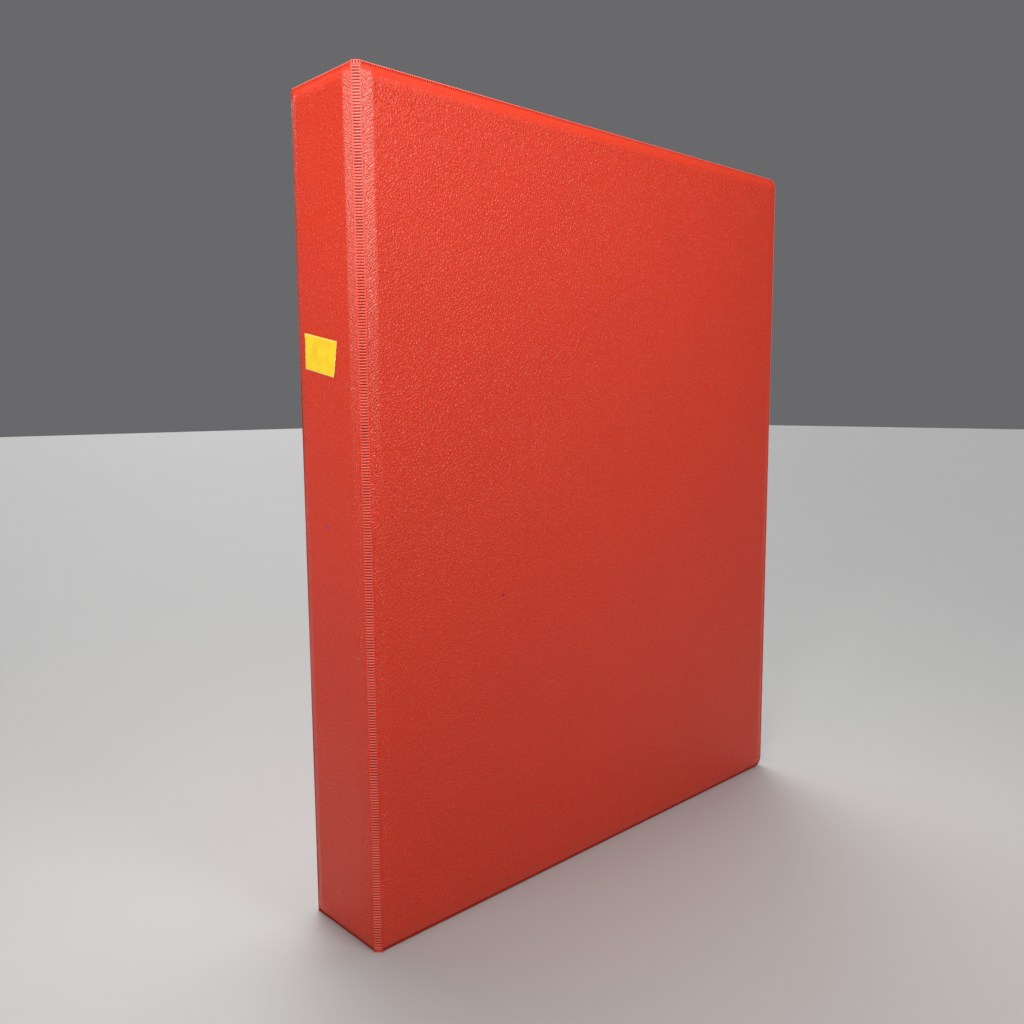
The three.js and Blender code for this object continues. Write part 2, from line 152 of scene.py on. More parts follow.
def tubes(name, bodies, material):
    """Closed bodies in one mesh. Each is an array of loops of points, with flat ends."""
    faces, start = [], 0
    for rings in bodies:
        rows, columns = np.shape(rings)[:2]
        last = start + (rows - 1) * columns
        faces += grid_faces(rows, columns, wrap=True, start=start)
        faces.append(list(range(start, start + columns))[::-1])
        faces.append(list(range(last, last + columns)))
        start = last + columns
    points = np.concatenate([np.reshape(rings, (-1, 3)) for rings in bodies])
    return face_outwards(add_mesh(name, points, faces, material))


def tube(name, rings, material):
    return tubes(name, [rings], material)


def paint(piece, attribute, values):
    """A number on each vertex that the piece's material reads."""
    layer = piece.data.attributes.new(attribute, "FLOAT", "POINT")
    layer.data.foreach_set("value", np.asarray(values, np.float32).ravel())


def smoothstep(low, high, value):
    share = np.clip((value - low) / (high - low), 0, 1)
    return share * share * (3 - 2 * share)


def graded(low, high, first=0.2 * MM, growth=0.09, largest=4 * MM):
    """Positions from low to high, close together at both ends and wider in the middle."""
    offsets = [0.0]
    while offsets[-1] < (high - low) / 2:
        offsets.append(offsets[-1] + min(first + growth * offsets[-1], largest))
    near = np.array(offsets[:-1])
    return np.concatenate([low + near, (high - near)[::-1]])


def ripples(x, z, wavelength, seed, count=9):
    """A smooth random field between about -1 and 1, the same at each run."""
    dice = np.random.default_rng(seed)
    total = np.zeros(np.broadcast(x, z).shape)
    for _ in range(count):
        heading, phase = dice.uniform(0, math.tau, 2)
        wave = math.tau / (wavelength * dice.uniform(0.7, 1.6))
        total += np.sin((x * math.cos(heading) + z * math.sin(heading)) * wave + phase)
    return total / math.sqrt(count)


# ------------------------------------------------------------------- materials


class Nodes:
    """A material's node tree with a short way to add nodes and link them."""

    def __init__(self, name, colour, roughness, metallic=0.0):
        self.material = bpy.data.materials.new(name)
        self.material.use_nodes = True
        self.tree = self.material.node_tree
        self.shader = self.tree.nodes["Principled BSDF"]
        self.set(self.shader, "Base Color", colour)
        self.set(self.shader, "Roughness", roughness)
        self.set(self.shader, "Metallic", metallic)
        self.place = self.add("ShaderNodeTexCoord").outputs["Object"]

    def add(self, kind, **values):
        node = self.tree.nodes.new(kind)
        for key, value in values.items():
            if hasattr(node, key):
                setattr(node, key, value)
            else:
                self.set(node, key.replace("_", " "), value)
        return node

    def set(self, node, socket, value):
        target = node.inputs[socket]
        if isinstance(value, bpy.types.NodeSocket):
            self.tree.links.new(value, target)
        elif isinstance(value, tuple) and len(value) == 3 and target.type == "RGBA":
            target.default_value = (*value, 1)
        else:
            target.default_value = value

    def noise(self, scale, detail=3.0, place=None, roughness=0.5):
        node = self.add("ShaderNodeTexNoise", Scale=scale, Detail=detail, Roughness=roughness)
        self.set(node, "Vector", place or self.place)
        return node.outputs["Fac"]

    def maths(self, operation, first, second=0.0, third=0.0):
        node = self.tree.nodes.new("ShaderNodeMath")
        node.operation = operation
        for socket, value in zip(node.inputs, (first, second, third)):
            if isinstance(value, bpy.types.NodeSocket):
                self.tree.links.new(value, socket)
            else:
                socket.default_value = value
        return node.outputs[0]

    def span(self, value, low, high, to_low=0.0, to_high=1.0):
        """value from low..high carried to to_low..to_high, and held at the ends."""
        node = self.add("ShaderNodeMapRange")
        for socket, number in zip(node.inputs, (value, low, high, to_low, to_high)):
            if isinstance(number, bpy.types.NodeSocket):
                self.tree.links.new(number, socket)
            else:
                socket.default_value = number
        return node.outputs[0]

    def mix(self, share, first, second):
        node = self.add("ShaderNodeMix", data_type="RGBA")
        sockets = [s for s in node.inputs if s.type == "RGBA"]
        factor = [s for s in node.inputs if s.name == "Factor" and s.type == "VALUE"][0]
        for socket, value in zip((factor, *sockets), (share, first, second)):
            if isinstance(value, bpy.types.NodeSocket):
                self.tree.links.new(value, socket)
            elif isinstance(value, tuple):
                socket.default_value = (*value, 1)
            else:
                socket.default_value = value
        return [s for s in node.outputs if s.type == "RGBA"][0]

    def read(self, attribute):
        return self.add("ShaderNodeAttribute", attribute_name=attribute).outputs["Fac"]

    def bump(self, height, distance, strength=1.0):
        node = self.add("ShaderNodeBump")
        self.set(node, "Height", height)
        self.set(node, "Distance", distance)
        self.set(node, "Strength", strength)
        self.set(self.shader, "Normal", node.outputs["Normal"])


RED = (0.78, 0.042, 0.010)
RED_DEEP = (0.70, 0.034, 0.008)
# Painted shade in the creases between grain pebbles.
RED_CREASE_SHADE = (0.58, 0.026, 0.006)
RED_WORN = (0.76, 0.060, 0.025)
# Painted shade in the pressed grooves of the welds.
GROOVE_SHADE_RED = (0.14, 0.003, 0.006)
# Pale pink on the hinge: stress whitening and painted highlight.
STRESS_AND_HIGHLIGHT_PINK = (1.0, 0.38, 0.33)
GRAIN_SIZE = 1.15 * MM


def pebble_grain(nodes):
    """Height of pressed leather grain: low rounded pebbles parted by soft wandering creases."""
    stir = nodes.add("ShaderNodeTexNoise", Scale=700.0, Detail=1.0)
    nodes.set(stir, "Vector", nodes.place)
    shift = nodes.add("ShaderNodeVectorMath", operation="MULTIPLY_ADD")
    nodes.tree.links.new(stir.outputs["Color"], shift.inputs[0])
    shift.inputs[1].default_value = (1.3 * MM,) * 3
    nodes.tree.links.new(nodes.place, shift.inputs[2])
    cells = nodes.add("ShaderNodeTexVoronoi", feature="DISTANCE_TO_EDGE", Scale=1 / GRAIN_SIZE)
    nodes.set(cells, "Vector", shift.outputs[0])
    rounded = nodes.add("ShaderNodeMapRange", interpolation_type="SMOOTHSTEP")
    nodes.set(rounded, "Value", cells.outputs["Distance"])
    nodes.set(rounded, "From Max", 0.42)
    return rounded.outputs[0]


def vinyl_material(name, grain_depth, marks=()):
    """Red PVC sheet. The vertices say where the grain is pressed flat and where edges rub."""
    nodes = Nodes(name, RED, 0.4)
    cloudy = nodes.noise(28.0, 4.0)
    colour = nodes.mix(nodes.span(cloudy, 0.35, 0.7, 0.0, 0.35), RED, RED_DEEP)
    height = pebble_grain(nodes)
    # Painted shade: the grain's creases are darkened where the grain is full.
    crease_shade = nodes.maths("MULTIPLY", nodes.span(height, 0.0, 0.6, 0.6, 0.0), nodes.read("grain"))
    colour = nodes.mix(crease_shade, colour, RED_CREASE_SHADE)
    rubbed = nodes.maths("MULTIPLY", nodes.read("rub"), nodes.span(nodes.noise(420.0), 0.4, 0.65))
    colour = nodes.mix(rubbed, colour, RED_WORN)
    for spot, radius, ink in marks:
        away = nodes.add("ShaderNodeVectorMath", operation="DISTANCE")
        nodes.tree.links.new(nodes.place, away.inputs[0])
        away.inputs[1].default_value = spot
        edge = nodes.maths("MULTIPLY_ADD", nodes.noise(1500.0), 0.5 * radius, away.outputs["Value"])
        stain = nodes.span(edge, 0.7 * radius, 1.25 * radius, 0.85, 0.0)
        colour = nodes.mix(stain, colour, ink)
    handled = nodes.noise(55.0, 5.0)
    pull = nodes.read("pull")
    gloss = nodes.span(handled, 0.3, 0.75, 0.40, 0.46)
    gloss = nodes.maths("MULTIPLY_ADD", pull, -0.14, gloss)
    nodes.set(nodes.shader, "Roughness", nodes.maths("MULTIPLY_ADD", rubbed, 0.12, gloss))
    relief = nodes.maths("MULTIPLY", height, nodes.read("grain"))
    up = nodes.add("ShaderNodeSeparateXYZ")
    nodes.tree.links.new(nodes.place, up.inputs[0])
    phase = nodes.maths("MULTIPLY_ADD", nodes.read("lean"), -0.8, up.outputs["Z"])
    phase = nodes.maths("MULTIPLY_ADD", nodes.noise(520.0, 2.0), 2.6 * MM, phase)
    wave = nodes.maths("SINE", nodes.maths("MULTIPLY", phase, math.tau / RIB_PITCH))
    streaks = nodes.maths("MULTIPLY", nodes.maths("MULTIPLY", wave, 0.3), pull)
    # Painted pale pink along the hinge streaks: stress whitening and painted highlight.
    stress_and_highlight = nodes.maths("MULTIPLY", nodes.span(wave, -0.7, 1.0, 0.04, 0.62), nodes.read("pale"))
    nodes.set(nodes.shader, "Base Color", nodes.mix(stress_and_highlight, colour, STRESS_AND_HIGHLIGHT_PINK))
    nodes.bump(nodes.maths("ADD", relief, streaks), grain_depth)
    return nodes.material


def weld_material():
    """The same PVC where the die pressed it: smooth, glossier and a little deeper in colour."""
    nodes = Nodes("welded_vinyl", RED, 0.33)
    nodes.set(nodes.shader, "Specular IOR Level", 0.3)
    uneven = nodes.noise(160.0, 4.0)
    colour = nodes.mix(nodes.span(uneven, 0.35, 0.7), RED, RED_DEEP)
    # Pale pink on the weld: stress whitening and painted highlight.
    colour = nodes.mix(nodes.maths("MULTIPLY", nodes.read("pale"), 0.36), colour, STRESS_AND_HIGHLIGHT_PINK)
    # Painted shade: darker in the die-mark grooves and along the rim's bottom.
    colour = nodes.mix(nodes.maths("MULTIPLY", nodes.read("groove"), 0.9), colour, GROOVE_SHADE_RED)
    nodes.set(nodes.shader, "Base Color", colour)
    smooth = nodes.span(uneven, 0.3, 0.7, 0.24, 0.36)
    rough = nodes.maths("MULTIPLY_ADD", nodes.read("groove"), 0.4, smooth)
    nodes.set(nodes.shader, "Roughness", rough)
    nodes.bump(nodes.noise(1900.0, 3.0), 0.05 * MM, 0.6)
    return nodes.material


def nickel_material(name, tint, roughness):
    """Bright plated steel with rolling marks, faint haze and small scratches."""
    nodes = Nodes(name, tint, roughness, 1.0)
    drawn = nodes.add("ShaderNodeMapping")
    nodes.tree.links.new(nodes.place, drawn.inputs["Vector"])
    drawn.inputs["Scale"].default_value = (1.0, 1.0, 0.06)
    lines = nodes.noise(2600.0, 3.0, drawn.outputs["Vector"])
    haze = nodes.noise(90.0, 5.0)
    both = nodes.maths("MULTIPLY_ADD", lines, 0.12, nodes.span(haze, 0.3, 0.75, 0.0, 0.14))
    nodes.set(nodes.shader, "Roughness", nodes.maths("ADD", both, roughness - 0.08))
    darker = tuple(0.8 * c for c in tint)
    nodes.set(nodes.shader, "Base Color", nodes.mix(nodes.span(haze, 0.4, 0.8), tint, darker))
    nodes.bump(lines, 0.02 * MM, 0.5)
    return nodes.material


def board_material():
    nodes = Nodes("greyboard", (0.36, 0.30, 0.23), 0.9)
    flecks = nodes.noise(1400.0, 5.0)
    colour = nodes.mix(nodes.span(flecks, 0.4, 0.7), (0.42, 0.36, 0.28), (0.25, 0.2, 0.15))
    nodes.set(nodes.shader, "Base Color", colour)
    nodes.bump(nodes.noise(900.0, 6.0), 0.1 * MM)
    return nodes.material


def card_material():
    """Black album card: dull, with paper fibre and a soft grey bloom from handling."""
    nodes = Nodes("black_card", (0.012, 0.012, 0.013), 0.7)
    fibre = nodes.noise(2200.0, 5.0)
    bloom = nodes.noise(35.0, 4.0)
    colour = nodes.mix(nodes.span(bloom, 0.4, 0.75), (0.010, 0.010, 0.011), (0.024, 0.023, 0.023))
    nodes.set(nodes.shader, "Base Color", nodes.mix(nodes.span(fibre, 0.55, 0.75), colour, (0.04, 0.038, 0.037)))
    nodes.set(nodes.shader, "Roughness", nodes.span(fibre, 0.3, 0.7, 0.62, 0.82))
    nodes.bump(fibre, 0.04 * MM, 0.7)
    return nodes.material


def film_material():
    """Clear strip over black card: the card's colour under a smooth, slightly wavy gloss."""
    nodes = Nodes("clear_strip", (0.018, 0.018, 0.021), 0.1)
    wavy = nodes.noise(60.0, 2.0)
    nodes.set(nodes.shader, "Roughness", nodes.span(nodes.noise(300.0, 4.0), 0.3, 0.75, 0.07, 0.2))
    nodes.set(nodes.shader, "Base Color", nodes.mix(wavy, (0.014, 0.014, 0.016), (0.03, 0.03, 0.034)))
    nodes.bump(wavy, 0.25 * MM, 0.5)
    return nodes.material


def label_material():
    """Fluorescent yellow price-gun paper, paler where the edge is rubbed."""
    nodes = Nodes("label_paper", (0.95, 0.66, 0.02), 0.5)
    fibre = nodes.noise(1800.0, 5.0)
    blotch = nodes.noise(190.0, 3.0)
    colour = nodes.mix(nodes.span(blotch, 0.35, 0.7), (0.98, 0.70, 0.02), (0.93, 0.58, 0.015))
    pale = nodes.maths("MULTIPLY", nodes.read("rub"), nodes.span(fibre, 0.3, 0.6, 0.4, 1.0))
    nodes.set(nodes.shader, "Base Color", nodes.mix(pale, colour, (0.98, 0.86, 0.30)))
    nodes.set(nodes.shader, "Roughness", nodes.span(fibre, 0.3, 0.7, 0.42, 0.6))
    nodes.bump(fibre, 0.03 * MM, 0.6)
    return nodes.material


PEN_DOT = (Vector((SPINE_X, FRONT_Y + 24.4 * MM, 157 * MM)), 0.9 * MM, (0.20, 0.03, 0.30))
SCUFF = (Vector((SPINE_X + 64.6 * MM, FRONT_Y, 125.8 * MM)), 0.9 * MM, (0.16, 0.02, 0.02))

SKIN = vinyl_material("red_vinyl", 0.2 * MM, [PEN_DOT, SCUFF])
LINER = vinyl_material("red_liner_vinyl", 0.07 * MM)
WELD = weld_material()
NICKEL = nickel_material("nickel_steel", (0.74, 0.73, 0.70), 0.2)
BLADE_STEEL = nickel_material("blade_steel", (0.55, 0.54, 0.52), 0.34)
BOARD = board_material()
CARD = card_material()
FILM = film_material()
PAPER = label_material()


# ---------------------------------------------------------------- vinyl panels


def weld_edge(depth_sum):
    """Where a sheet leaves the hinge weld: how far across its panel, and how deep."""
    across = depth_sum / 2 + STRIP_HALF / math.sqrt(2)
    return across, depth_sum - across


def front_place(across, depth, z):
    return np.stack(np.broadcast_arrays(SPINE_X + across, FRONT_Y + depth, z), -1)


def back_place(across, depth, z):
    return np.stack(np.broadcast_arrays(SPINE_X + across, BACK_Y - depth, z), -1)


def spine_place(across, depth, z):
    return np.stack(np.broadcast_arrays(SPINE_X + depth, FRONT_Y + across, z), -1)


def stretched(distance, depth, width, power=1.35):
    """depth at distance 0, rising almost straight to nothing at width, where the board begins."""
    share = np.clip(1 - distance / width, 0, 1)
    return depth * share**power


def round_corner(across, z):
    """Bends the square grid round the two fore-edge corners of a cover."""
    r = CORNER_RADIUS
    p = np.clip((across - (DEPTH - r)) / r, 0, 1)
    q = np.clip((np.abs(z - HEIGHT / 2) - (HEIGHT / 2 - r)) / r, 0, 1)
    inside = (p > 0) & (q > 0)
    new_across = np.where(inside, DEPTH - r + r * p * np.sqrt(1 - q * q / 2), across)
    high = HEIGHT / 2 - r + r * q * np.sqrt(1 - p * p / 2)
    new_z = np.where(inside, HEIGHT / 2 + np.sign(z - HEIGHT / 2) * high, z)
    return new_across, new_z


def free_distance(across, z, is_cover):
    """How far a point is from the nearest welded free edge."""
    from_ends = HEIGHT / 2 - np.abs(z - HEIGHT / 2)
    if not is_cover:
        return from_ends
    r = CORNER_RADIUS
    qx = across - (DEPTH - r)
    qz = r - from_ends
    outside = np.hypot(np.maximum(qx, 0), np.maximum(qz, 0))
    return r - outside - np.minimum(np.maximum(qx, qz), 0)


def panel_grid(is_cover, start, end):
    """Points across and up a panel, and their distances from the free edges."""
    inset = RIM_WIDTH - 0.1 * MM
    across, z = np.meshgrid(
        graded(start, end - (inset if is_cover else 0)),
        graded(inset, HEIGHT - inset),
    )
    if is_cover:
        across, z = round_corner(across, z)
    return across, z, free_distance(across, z, is_cover)


def puckered(across, z, free, seed):
    """Slack of the sheet over its board: long shallow waves, and short ones by the welds."""
    slack = 0.07 * MM * (1 + ripples(across, z, 70 * MM, seed)) * smoothstep(0, 14 * MM, free)
    near = np.exp(-(((free - 3.2 * MM) / (2.4 * MM)) ** 2))
    return slack + 0.05 * MM * near * (1 + ripples(across, z, 9 * MM, seed + 1))


def stress_and_top_light(z):
    """How pale the hinge is painted, most near the top: partly whitening by pulling, where it is held, and
    partly painted highlight, where the light falls strongest.
    """
    return smoothstep(170 * MM, 305 * MM, z)


def outer_skin(name, place, is_cover, depth_sum, seed):
    start, drop = weld_edge(depth_sum)
    far_start, far_drop = weld_edge(BACK_SUM)
    end = DEPTH if is_cover else THICKNESS - far_start
    across, z, free = panel_grid(is_cover, start, end)
    hinge = across - start
    slope = stretched(free - RIM_WIDTH, RIM_FACE, SLOPE, 1.8)
    shoulder = stretched(hinge, drop, SHOULDER, 1.1)
    if not is_cover:
        shoulder += stretched(end - across, far_drop, SHOULDER, 1.1)
        hinge = np.minimum(hinge, end - across)
    depth = np.cbrt(slope**3 + shoulder**3) + puckered(across, z, free, seed)
    skin = shell(name, place(across, depth, z), place(across, depth + SHEET, z), SKIN)
    grain = smoothstep(2.6 * MM, 6.5 * MM, free)
    rub = 0.7 * (1 - smoothstep(0.8 * MM, 3 * MM, free))
    paint(skin, "grain", np.tile(grain.ravel(), 2))
    paint(skin, "rub", np.tile(rub.ravel(), 2))
    pulled = 1 - smoothstep(SHOULDER - 1 * MM, SHOULDER, hinge)
    pulled *= smoothstep(2 * MM, 4 * MM, free)
    paint(skin, "pull", np.tile(pulled.ravel(), 2))
    paint(skin, "lean", np.tile(hinge.ravel(), 2))
    # The pulled shoulders are painted pale, most near the top: stress whitening and painted highlight.
    whitening_and_highlight = pulled * stress_and_top_light(z)
    if not is_cover:
        whitening_and_highlight *= 1 - 0.8 * smoothstep(0, end, across)
    paint(skin, "pale", np.tile(whitening_and_highlight.ravel(), 2))
    return skin


def inner_liner(name, place, is_cover, seed):
    end = DEPTH if is_cover else THICKNESS - LINER_START
    across, z, free = panel_grid(is_cover, LINER_START, end)
    hinge = across - LINER_START
    if not is_cover:
        hinge = np.minimum(hinge, end - across)
    slope = stretched(free - RIM_WIDTH, PANEL - RIM_BACK, INNER_SLOPE)
    shoulder = stretched(hinge, LINER_SHOULDER, INNER_SLOPE)
    depth = PANEL - np.cbrt(slope**3 + shoulder**3) - puckered(across, z, free, seed)
    liner = shell(name, place(across, depth, z), place(across, depth - SHEET, z), LINER)
    paint(liner, "grain", np.tile(smoothstep(2 * MM, 5 * MM, free).ravel(), 2))
    paint(liner, "rub", np.zeros(2 * free.size))
    paint(liner, "pull", np.zeros(2 * free.size))
    paint(liner, "lean", np.zeros(2 * free.size))
    paint(liner, "pale", np.zeros(2 * free.size))
    return liner


def die_mark(pitches, low=0.3):
    """1 in the middle of each pressed groove and 0 on the ridges, once a pitch."""
    return smoothstep(low, 0.9, 0.5 - 0.5 * np.cos(math.tau * pitches))


def rim_path(is_cover, depth_sum):
    """Points round the free edges with their inward directions, a few to each die mark."""
    step = RIB_PITCH / RIB_SAMPLES
    start = weld_edge(depth_sum)[0]
    if not is_cover:
        across = np.arange(start, THICKNESS - weld_edge(BACK_SUM)[0], step)
        ends = []
        for z, inward in ((0.0, 1.0), (HEIGHT, -1.0)):
            point = np.stack([across, np.full_like(across, z)], -1)
            ends.append((point, np.tile([0.0, inward], (len(across), 1))))
        return ends
    r = CORNER_RADIUS
    flat = np.arange(start, DEPTH - r, step)
    turn = np.linspace(0, math.pi / 2, int(r * math.pi / 2 / step))
    up = np.arange(r, HEIGHT - r, step)
    low = [np.stack([flat, 0 * flat], -1)]
    low.append(np.stack([DEPTH - r + r * np.sin(turn), r - r * np.cos(turn)], -1))
    side = np.stack([np.full_like(up, DEPTH), up], -1)
    high = [np.stack([p[:, 0], HEIGHT - p[:, 1]], -1)[::-1] for p in low[::-1]]
    point = np.concatenate([*low, side[1:], *high])
    centre = np.stack(
        [np.minimum(point[:, 0], DEPTH - r), np.clip(point[:, 1], r, HEIGHT - r)], -1
    )
    inward = centre - point
    inward /= np.linalg.norm(inward, axis=1, keepdims=True)
    return [(point, inward)]


def rim_section(groove):
    """The rim's outline as (distance in from the edge, depth), at one depth of groove."""
    face = RIM_FACE
    return [
        (0.03 * MM, face + 0.06 * MM),
        (0.12 * MM, face - 0.03 * MM),
        (0.36 * MM, face - 0.03 * MM),
        (0.42 * MM, face + groove),
        (1.0 * MM, face + groove),
        (1.1 * MM, face - 0.02 * MM),
        (1.5 * MM, face + 0.15 * MM),
        (1.5 * MM, RIM_BACK - 0.15 * MM),
        (0.9 * MM, RIM_BACK),
        (0.12 * MM, RIM_BACK),
        (0.0, RIM_BACK - 0.15 * MM),
        (0.0, face + 0.2 * MM),
    ]


def weld_rim(name, place, is_cover, depth_sum):
    """The pressed edge where skin and liner are welded, with a die mark at each pitch."""
    pieces = []
    for number, (point, inward) in enumerate(rim_path(is_cover, depth_sum)):
        mark = die_mark(np.arange(len(point)) / RIB_SAMPLES, 0.5)
        section = np.array([rim_section(0.3 * MM * m) for m in mark])
        spot = point[:, None, :] + inward[:, None, :] * section[..., :1]
        rim = tube(f"{name}_{number + 1}", place(spot[..., 0], section[..., 1], spot[..., 1]), WELD)
        # Painted shade in each die-mark groove of the rim.
        painted_groove_shade = np.zeros(section.shape[:2])
        painted_groove_shade[:, 3:5] = 0.8 * mark[:, None]
        # Painted shade: the rim is darkened along its bottom edge, where it sits in shadow.
        bottom_shade = 0.75 * (1 - smoothstep(1 * MM, 3 * MM, point[:, 1]))
        painted_groove_shade[:, :7] = np.maximum(painted_groove_shade[:, :7], bottom_shade[:, None])
        paint(rim, "groove", painted_groove_shade)
        # Painted highlight: a pale line along the rim's outer lip, left off near the bottom.
        edge = np.zeros(section.shape[:2])
        edge[:, :3] = 0.8 * smoothstep(10 * MM, 60 * MM, point[:, 1])[:, None]
        paint(rim, "pale", edge)
        pieces.append(rim)
    return pieces


PANELS = [
    ("front", front_place, True, "front_cover", FRONT_SUM, 11),
    ("spine", spine_place, False, "spine", FRONT_SUM, 23),
    ("back", back_place, True, "back_cover", BACK_SUM, 37),
]
for word, place, is_cover, body, depth_sum, seed in PANELS:
    skin = outer_skin(word + "_skin_sheet", place, is_cover, depth_sum, seed)
    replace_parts(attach(skin, body), word + "_outer_skin")
    liner = inner_liner(word + "_liner_sheet", place, is_cover, seed + 5)
    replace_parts(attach(liner, body), word + "_inner_liner")
    for rim in weld_rim(word + "_weld_rim", place, is_cover, depth_sum):
        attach(rim, body)
    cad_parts[word + "_board"].data.materials[0] = BOARD


# ---------------------------------------------------------------- hinge strips


def strip_section(depth_sum, rib, sink, dots):
    """The strip's outline in (depth from the cover's plane, depth from the spine's plane)."""
    middle = depth_sum / 2
    outer, painted_groove_shade, ridged = [], [], []
    for along in np.linspace(-STRIP_HALF, STRIP_HALF, 19):
        fade = max(0.0, 1 - (along / RIB_HALF) ** 6)
        crown = 0.12 * MM * (1 - (along / STRIP_HALF) ** 2)
        mark = dots * float(die_mark(along / RIB_PITCH + 0.5))
        inward = (RIB_DEPTH * rib * fade + sink + 0.3 * MM * mark - crown) / math.sqrt(2)
        shift = along / math.sqrt(2)
        outer.append((middle + shift + inward, middle - shift + inward))
        # Painted shade in the rib grooves and the end dots.
        painted_groove_shade.append(max(rib * fade, mark))
        ridged.append(fade)
    tuck = [
        (3.1 * MM, 1.05 * MM),
        (3.7 * MM, 1.6 * MM),
        (4.5 * MM, 1.8 * MM),
        (4.5 * MM, 2.3 * MM),
        (3.6 * MM, 2.25 * MM),
        (3.1 * MM, 2.4 * MM),
    ]
    inner = [(2.65 * MM, 2.65 * MM)]
    back = [(b, a) for a, b in tuck[::-1]]
    rest = [0.0] * (len(inner) + 2 * len(tuck))
    return outer + tuck + inner + back, painted_groove_shade + rest, ridged + rest


# How pale the strip's ridges are painted: wear and painted highlight.
RIDGE_WEAR_AND_HIGHLIGHT = 0.5


def hinge_strip(name, place, depth_sum):
    rows = int(HEIGHT / RIB_PITCH * RIB_SAMPLES)
    z = np.linspace(0, HEIGHT, rows + 1)
    from_end = np.minimum(z, HEIGHT - z)
    dice = np.random.default_rng(5)
    uneven = np.interp(z, np.linspace(0, HEIGHT, 60), dice.uniform(0.75, 1.0, 60))
    ribs = uneven * die_mark(z / RIB_PITCH, 0.36) * smoothstep(1.3 * MM, 1.7 * MM, from_end)
    sink = 0.3 * MM * (1 - smoothstep(0, 3.5 * MM, from_end))
    dots = smoothstep(0.15 * MM, 0.3 * MM, from_end)
    dots *= 1 - smoothstep(1.0 * MM, 1.2 * MM, from_end)
    rows = [strip_section(depth_sum, *row) for row in zip(ribs, sink, dots)]
    section = np.array([outline for outline, _, _ in rows])
    strip = tube(name, place(section[..., 0], section[..., 1], z[:, None]), WELD)
    # The strip's grooves get their painted shade.
    paint(strip, "groove", [painted_groove_shade for _, painted_groove_shade, _ in rows])
    # The ridges and the upper strip are painted pale: stress whitening, wear and painted highlight.
    ridged = np.array([ridge_share for _, _, ridge_share in rows])
    whitening_and_highlight = stress_and_top_light(z)[:, None] * (0.5 + 0.5 * ridged)
    paint(strip, "pale", np.maximum(whitening_and_highlight, RIDGE_WEAR_AND_HIGHLIGHT * ridged))
    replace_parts(strip, name.replace("_weld", "_strip"))
    across, drop = weld_edge(depth_sum)
    start = place(drop, across, HEIGHT / 2)
    end = place(across, drop, HEIGHT / 2)
    tuple(start)
    tuple(end)
    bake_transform(strip)


hinge_strip("front_hinge_weld", front_place, FRONT_SUM)
hinge_strip("back_hinge_weld", back_place, BACK_SUM)


# ------------------------------------------------------------------ price label


def price_label():
    """A gun label, cut a little askew, with thin pale edges and one lifting corner."""
    low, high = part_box("price_label")
    tilt = math.radians(11)
    width, height, skew = 21.1 * MM, 12.8 * MM, 1.9 * MM
    u, v = np.meshgrid(np.linspace(-0.5, 0.5, 61), np.linspace(-0.5, 0.5, 33))
    wavy = 0.05 * MM * np.sin(v * math.tau * 5) * np.sign(u) * smoothstep(0.42, 0.5, np.abs(u))
    along = u * width + (0.5 - u) * (0.5 - v) * skew + wavy
    up = v * height
    y = (low.y + high.y) / 2 - along * math.cos(tilt) - up * math.sin(tilt)
    z = (low.z + high.z) / 2 - along * math.sin(tilt) + up * math.cos(tilt)
    lift = 0.35 * MM * smoothstep(0.34, 0.5, -u) * smoothstep(0.2, 0.5, v)
    lift += 0.1 * MM * smoothstep(0.4, 0.5, u) * smoothstep(0.3, 0.5, -v)
    crease = 0.03 * MM * (1 + ripples(y, z, 7 * MM, 3))
    x = SPINE_X - 0.03 * MM - lift - crease
    outer = np.stack([x - 0.09 * MM, y, z], -1)
    label = shell("yellow_price_label", outer, np.stack([x, y, z], -1), PAPER)
    edge = np.maximum(smoothstep(0.475, 0.5, np.abs(u)), smoothstep(0.46, 0.5, np.abs(v)))
    paint(label, "rub", np.tile(edge.ravel(), 2))
    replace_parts(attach(label, "spine"), "price_label")


price_label()


# ------------------------------------------------------------- ring mechanism


HOUSING_LOW, HOUSING_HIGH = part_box("ring_housing")
RING_X = (HOUSING_LOW.x + HOUSING_HIGH.x) / 2
RING_Z = [(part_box(f"ring_arc_{i}")[0].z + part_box(f"ring_arc_{i}")[1].z) / 2 for i in range(1, 5)]
RIVET_Z = [(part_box(f"rivet_{i}")[0].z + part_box(f"rivet_{i}")[1].z) / 2 for i in (1, 2)]
PIN_Z = [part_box("lever_pin_" + end)[0].z + 0.7 * MM for end in ("bottom", "top")]
RING_RADIUS = 13 * MM
RING_CENTRE = 20 * MM
WIRE = 1.5 * MM
FOOT = 2.65 * MM
SPLIT = math.radians(55)
HOUSING_HALF = (HOUSING_HIGH.x - HOUSING_LOW.x) / 2
CROWN = BACK_INNER_Y - HOUSING_LOW.y
HOUSING_WALL = 3.2 * MM
HOUSING_SHEET = 0.7 * MM
PIN_HEIGHT = 2.1 * MM
BARREL = 1.5 * MM
BARREL_HALF = 4.5 * MM
TAB_LENGTH = 9.5 * MM
TAB_HALF = 7 * MM
TAB_ANGLE = math.radians(57)


def above_liner(x, height, z):
    """Mechanism measures: x from the ring centre line, height above the back cover's liner."""
    return np.stack(np.broadcast_arrays(RING_X + x, BACK_INNER_Y - height, z), -1)


